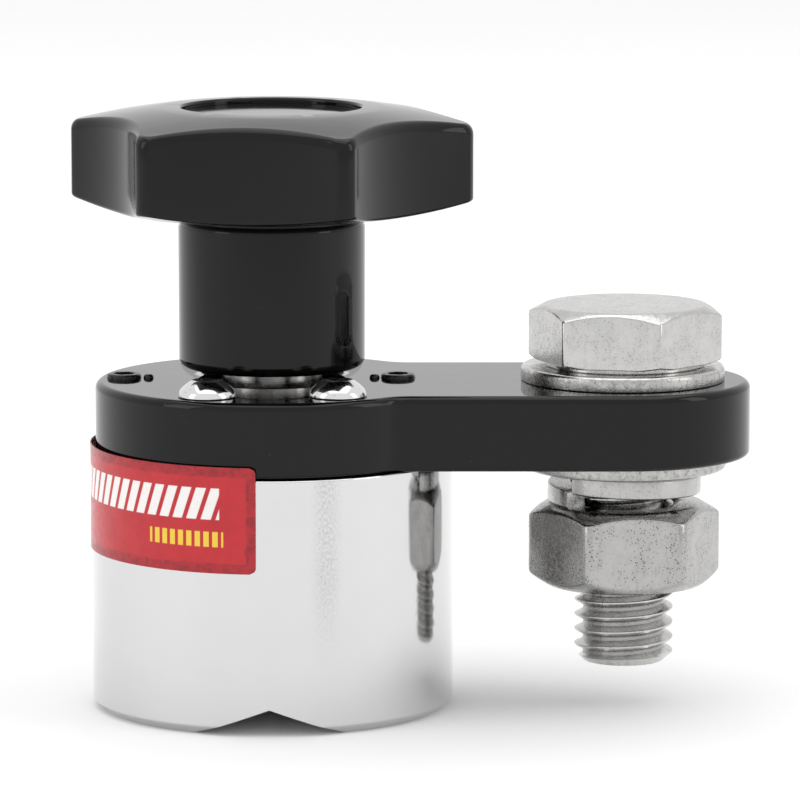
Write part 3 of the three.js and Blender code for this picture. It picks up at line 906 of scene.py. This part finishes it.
def make_cap():
    low, high = span("knob_cap")
    r = (high[0] - low[0]) / 2 + 0.2
    top = high[2] + CAP_RISE
    profile = [(0, low[2]), (r, low[2]), (r, top, 0.15), (0, top)]
    cap = even_normals(revolve("recess_cap", profile, AXIS, ROUND))
    return dress(cap, "cap", "rotor", "knob_cap")


def make_shaft():
    low, high = span("drive_shaft")
    r = (high[0] - low[0]) / 2
    profile = [(0, low[2]), (r, low[2], 0.5), (r, high[2], 0.5)]
    profile += [(SHAFT_TAP_R, high[2]), (SHAFT_TAP_R, SHAFT_TAP_FLOOR), (0, SHAFT_TAP_FLOOR)]
    shaft = even_normals(revolve("turned_shaft", profile, AXIS, ROUND))
    return dress(shaft, "shaft", "rotor", "drive_shaft")


# ---- Lug bolt ----
HEX_ACROSS = 17.0
BOLT_TURN, NUT_TURN = -11.0, 6.0
WASHER_FACE_R = 8.0
NUT_BORE_R, NUT_MOUTH_R = 5.15, 5.75
WASHER_HOLE_R = 5.25
PITCH = 1.5
THREAD_R, ROOT_R = 4.95, 4.10
# One turn's section: (part of the pitch, radius).
THREAD_SECTION = [
    (0.00, ROOT_R),
    (0.20, ROOT_R),
    (0.27, ROOT_R + 0.06),
    (0.53, THREAD_R - 0.07),
    (0.58, THREAD_R),
    (0.66, THREAD_R),
    (0.71, THREAD_R - 0.07),
    (0.95, ROOT_R + 0.06),
]


def threaded_rod(name, bottom, top, at, sides=96):
    """A closed right-hand thread whose rows of points follow the helix."""
    rows_per_turn = len(THREAD_SECTION)
    whole_turns = math.ceil((top - bottom) / PITCH) + 1
    last = whole_turns * rows_per_turn
    start_z = bottom - PITCH
    verts, index = [], {}

    def point(row, j):
        turn, k = divmod(row, rows_per_turn)
        part, r = THREAD_SECTION[k]
        a = 2 * math.pi * j / sides
        index[row, j] = len(verts)
        z = start_z + PITCH * (turn + part + j / sides)
        verts.append((at[0] + r * math.cos(a), at[1] + r * math.sin(a), z))

    for row in range(last + rows_per_turn + 1):
        point(row, 0)
    for row in range(last + 1):
        for j in range(1, sides):
            point(row, j)

    def vertex(row, j):
        return index[row + rows_per_turn, 0] if j == sides else index[row, j]

    faces = []
    for row in range(last):
        for j in range(sides):
            faces.append([vertex(row, j), vertex(row, j + 1), vertex(row + 1, j + 1), vertex(row + 1, j)])
    for row, z in ((0, start_z), (last, start_z + PITCH * (whole_turns + 1))):
        loop = [index[row, j] for j in range(sides)]
        loop += [index[row + k, 0] for k in range(rows_per_turn, 0, -1)]
        hub = len(verts)
        verts.append((at[0], at[1], z))
        faces += [[a, b, hub] for a, b in zip(loop, loop[1:] + loop[:1])]
    return build(name, verts, faces, 30.0)


def ring_maker(angles, radii):
    """Makes rings set in from the hexagon, whose height z_of gives from the full and the reduced radius."""

    def ring(inset, z_of):
        return polar([r - inset for r in radii], [z_of(r, r - inset) for r in radii], LUG, angles)

    return ring


def make_bolt():
    low, high = span("hex_bolt")
    top, seat, end = high[2], span("upper_washer")[1][2], low[2]
    angles, radii = hex_angles(HEX_ACROSS, 0.35, BOLT_TURN)
    ring = ring_maker(angles, radii)
    flat_r, tan_top = 8.05, math.tan(math.radians(28))
    under_r, tan_under = 8.9, math.tan(math.radians(20))

    def z_top(r):
        return top - max(0.0, r - flat_r) * tan_top

    def z_under(r):
        return seat + 0.45 + max(0.0, r - under_r) * tan_under

    rings = [
        [(LUG[0], LUG[1], seat)],
        circle(WASHER_FACE_R - 0.1, seat, LUG, angles),
        circle(WASHER_FACE_R, seat + 0.1, LUG, angles),
        circle(WASHER_FACE_R, seat + 0.45, LUG, angles),
        ring(0.16, lambda r, rr: z_under(rr)),
        ring(0.04, lambda r, rr: z_under(r) + 0.05),
        ring(0.0, lambda r, rr: z_under(r) + 0.16),
        ring(0.0, lambda r, rr: (z_under(r) + z_top(r)) / 2),
        ring(0.0, lambda r, rr: z_top(r) - 0.16),
        ring(0.05, lambda r, rr: z_top(r) - 0.03),
        ring(0.20, lambda r, rr: z_top(rr)),
        circle(flat_r + 0.12, top - 0.06, LUG, angles),
        circle(flat_r - 0.15, top, LUG, angles),
        circle(4.0, top, LUG, angles),
        [(LUG[0], LUG[1], top)],
    ]
    head = loft("hex_head_bolt", rings, sharp=30.0)
    rod = threaded_rod("thread", end, seat + 1.5, LUG)
    envelope = [(0, end), (3.95, end, 0.15), (5.05, end + 1.0), (5.05, seat + 1.2), (0, seat + 1.2)]
    carve(rod, revolve("thread_envelope", envelope, LUG, 96), "INTERSECT")
    carve(head, rod, "UNION")
    soften(head, 28.0)
    even_normals(head)
    return dress(head, "bolt", "base", "hex_bolt")


def make_nut():
    low, high = span("hex_nut")
    bottom, top = low[2], high[2]
    angles, radii = hex_angles(HEX_ACROSS, 1.1, NUT_TURN, nose=11)
    ring = ring_maker(angles, radii)
    flat_r = 7.75
    tan_top, tan_low = math.tan(math.radians(30)), math.tan(math.radians(33))

    def z_top(r):
        return top - max(0.0, r - flat_r) * tan_top

    def z_low(r):
        return bottom + max(0.0, r - flat_r) * tan_low

    rings = [
        circle(NUT_BORE_R, bottom + 0.75, LUG, angles),
        circle(NUT_MOUTH_R, bottom + 0.05, LUG, angles),
        circle(NUT_MOUTH_R + 0.1, bottom, LUG, angles),
        circle(flat_r - 0.35, bottom, LUG, angles),
        circle(flat_r, bottom + 0.07, LUG, angles),
        ring(0.42, lambda r, rr: z_low(rr) + 0.02),
        ring(0.17, lambda r, rr: z_low(rr) + 0.06),
        ring(0.05, lambda r, rr: z_low(r) + 0.12),
        ring(0.0, lambda r, rr: z_low(r) + 0.35),
        ring(0.0, lambda r, rr: (bottom + top) / 2),
        ring(0.0, lambda r, rr: z_top(r) - 0.22),
        ring(0.06, lambda r, rr: z_top(r) - 0.05),
        ring(0.25, lambda r, rr: z_top(rr)),
        circle(flat_r + 0.1, top - 0.05, LUG, angles),
        circle(flat_r - 0.2, top, LUG, angles),
        circle(NUT_MOUTH_R + 0.1, top, LUG, angles),
        circle(NUT_MOUTH_R, top - 0.05, LUG, angles),
        circle(NUT_BORE_R, top - 0.75, LUG, angles),
    ]
    nut = loft("hex_nut_body", rings, closed=True, sharp=34.0)
    even_normals(nut)
    return dress(nut, "nut", "nut", "hex_nut")


def make_washer(name, node, body, crown_up):
    """A stamped washer: one face's edge drawn round, the other with a small burr chamfer."""
    low, high = span(node)
    inner, outer = WASHER_HOLE_R, (high[0] - low[0]) / 2
    bottom, top = low[2], high[2]
    crown, burr = 0.45, 0.12
    under, over = (burr, crown) if crown_up else (crown, burr)
    profile = [(inner, bottom, under), (outer, bottom, under), (outer, top, over), (inner, top, over)]
    washer = even_normals(revolve(name, profile, centre(node), ROUND, closed=True))
    return dress(washer, "washer", body, node)


def make_spring_washer():
    """A split ring, one left-hand turn, with a rounded rectangular section and square-cut ends."""
    low, high = span("spring_washer")
    inner, outer, thickness = 5.35, (high[0] - low[0]) / 2, 2.0
    rise = high[2] - low[2] - thickness
    split_at, split = math.radians(-137), math.radians(5)
    section = rounded(
        [(inner, 0, 0.2), (outer, 0, 0.28), (outer, thickness, 0.28), (inner, thickness, 0.2)], closed=True
    )
    steps = 150
    rings = []
    for i in range(steps + 1):
        t = i / steps
        a = split_at + split / 2 + (2 * math.pi - split) * t
        z = high[2] - thickness - rise * t
        rings.append([(LUG[0] + r * math.cos(a), LUG[1] + r * math.sin(a), z + dz) for r, dz in section])
    ring = even_normals(loft("split_ring", rings, sharp=40.0))
    return dress(ring, "spring", "washers", "spring_washer")


# ---- Inner pieces that keep their CAD shape ----
INNER_FINISH = {
    "fixed_magnet": "magnet",
    "rotating_magnet": "magnet",
    "magnet_spacer": "brass",
    "thrust_washer": "brass",
    "shaft_bush": "bronze",
    "rotor_carrier": "inner",
    "drive_pin": "inner",
    "stop_pin": "inner",
    "knob_insert": "inner",
    "knob_screw": "inner",
    "shaft_seal": "rubber",
}


def finish_inner_pieces():
    for node, finish in INNER_FINISH.items():
        obj = frame["nodes"][node]
        obj.data.materials.clear()
        obj.data.materials.append(MATERIALS[finish])


# ---- Stage ----
LIGHT_TARGET = (0.0, 0.0, 0.03)


def area_light(name, at, size, power):
    """A soft white panel that faces the middle of the clamp."""
    data = bpy.data.lights.new(name, "AREA")
    data.shape = "RECTANGLE"
    data.size, data.size_y = size
    data.energy = power
    obj = bpy.data.objects.new(name, data)
    obj.location = at
    obj.rotation_euler = (Vector(LIGHT_TARGET) - Vector(at)).to_track_quat("-Z", "Y").to_euler()
    bpy.context.scene.collection.objects.link(obj)


def make_stage():
    bpy.ops.mesh.primitive_plane_add(size=6.0, location=(0, 0, 0))
    floor = bpy.context.object
    floor.name = "floor"
    floor.data.materials.append(floor_paint())
    world = bpy.data.worlds.new("studio")
    bpy.context.scene.world = world
    world.use_nodes = True
    background = world.node_tree.nodes["Background"]
    background.inputs["Color"].default_value = (1.0, 1.0, 1.0, 1.0)
    background.inputs["Strength"].default_value = 0.95
    bpy.context.scene.view_settings.view_transform = "Standard"
    area_light("overhead", (0.0, 0.05, 0.9), (0.9, 0.9), 3.0)
    area_light("side_left", (-0.7, -0.35, 0.35), (0.3, 0.6), 0.8)
    area_light("side_right", (0.7, -0.25, 0.35), (0.25, 0.6), 0.8)


CAMERA_DISTANCE = 0.600
CAMERA_ELEVATION = math.radians(8.4)
CAMERA_TARGET = (-0.0013, 0.0, 0.03075)
CAMERA_LENS = 269.5


def make_camera():
    data = bpy.data.cameras.new("camera")
    data.lens = CAMERA_LENS
    data.sensor_width = 36.0
    data.clip_start = 0.01
    obj = bpy.data.objects.new("camera", data)
    back = Vector((0.0, -math.cos(CAMERA_ELEVATION), math.sin(CAMERA_ELEVATION)))
    target = Vector(CAMERA_TARGET)
    obj.location = target + back * CAMERA_DISTANCE
    obj.rotation_euler = (-back).to_track_quat("-Z", "Y").to_euler()
    bpy.context.scene.collection.objects.link(obj)
    bpy.context.scene.camera = obj


make_camera()
make_stage()
make_housing()
make_label()
make_plate()
for number in range(1, 5):
    make_plate_screw(number)
make_grub("left", 12.0)
make_grub("right", 40.0)
make_pip("left")
make_pip("right")
make_knob_head()
make_stem()
make_cap()
make_shaft()
make_bolt()
make_nut()
make_washer("upper_plain_washer", "upper_washer", "base", True)
make_washer("lower_plain_washer", "lower_washer", "washers", False)
make_spring_washer()
finish_inner_pieces()
